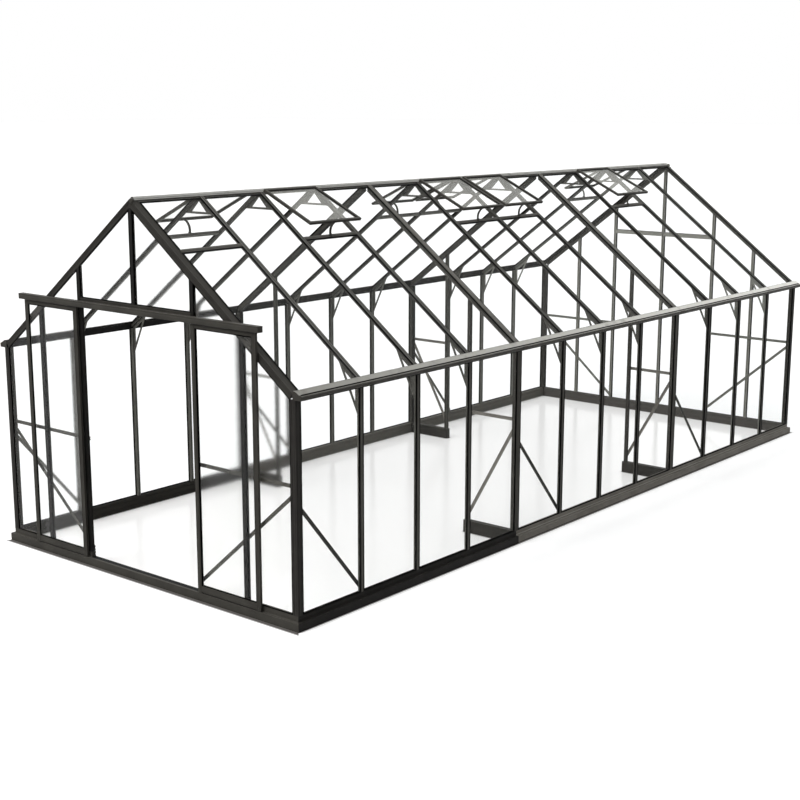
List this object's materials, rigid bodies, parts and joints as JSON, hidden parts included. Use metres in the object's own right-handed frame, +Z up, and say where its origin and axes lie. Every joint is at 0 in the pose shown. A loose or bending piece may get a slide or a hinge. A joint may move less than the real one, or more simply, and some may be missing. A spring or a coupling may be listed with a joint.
{
  "type": "walk-in greenhouse with sliding doors",
  "caption": "Long gabled greenhouse with a dark aluminium frame, clear panes, double sliding doors open at one gable, roof vents propped open, and short wing frames inside.",
  "frame": {"origin": "middle of the underside of the building", "axes": "+X right seen from the doors, +Y from the doors to the rear gable along the ridge, +Z up"},
  "size_m": [3.22, 7.534, 2.779],
  "materials": {
    "frame_paint": "satin powder coat, near-black grey",
    "clear_pane": "clear, smooth",
    "front_pane": "clear with a light haze",
    "black_plastic": "moulded, matt black"
  },
  "bodies": {
    "house": {"base_front": "frame_paint", "base_rear": "frame_paint", "base_left": "frame_paint", "base_right": "frame_paint", "corner_posts": "frame_paint", "wall_bars_left": "frame_paint", "wall_bars_right": "frame_paint", "joint_posts": "frame_paint", "gutter_left": "frame_paint", "gutter_right": "frame_paint", "ridge_bar": "frame_paint", "roof_bars_left": "frame_paint", "roof_bars_right": "frame_paint", "joint_rafters": "frame_paint", "gable_rafters": "frame_paint", "gable_bars_front": "frame_paint", "gable_bars_rear": "frame_paint", "header": "frame_paint", "rear_cross_bars": "frame_paint", "gable_braces": "frame_paint", "wall_braces": "frame_paint", "wing_bases": "frame_paint", "wing_posts": "frame_paint", "wing_braces": "frame_paint", "knee_braces": "frame_paint", "ridge_collars": "frame_paint", "vent_sills": "frame_paint", "vent_sashes": "frame_paint", "vent_panes": "clear_pane", "vent_stays": "frame_paint", "wall_panes_left": "clear_pane", "wall_panes_right": "clear_pane", "roof_panes_left": "clear_pane", "roof_panes_right": "clear_pane", "gable_panes_front": "front_pane", "gable_panes_rear": "clear_pane", "door_rail": "frame_paint"},
    "door_left": {"door_left_frame": "frame_paint", "door_left_hangers": "black_plastic", "door_left_pane": "front_pane"},
    "door_right": {"door_right_frame": "frame_paint", "door_right_hangers": "black_plastic", "door_right_pane": "front_pane"}
  },
  "joints": [
    {"name": "door_left_slide", "type": "slide", "parent": "house", "child": "door_left", "axis": [1, 0, 0], "range_m": [0, 0.6115]},
    {"name": "door_right_slide", "type": "slide", "parent": "house", "child": "door_right", "axis": [-1, 0, 0], "range_m": [0, 0.6115]}
  ]
}
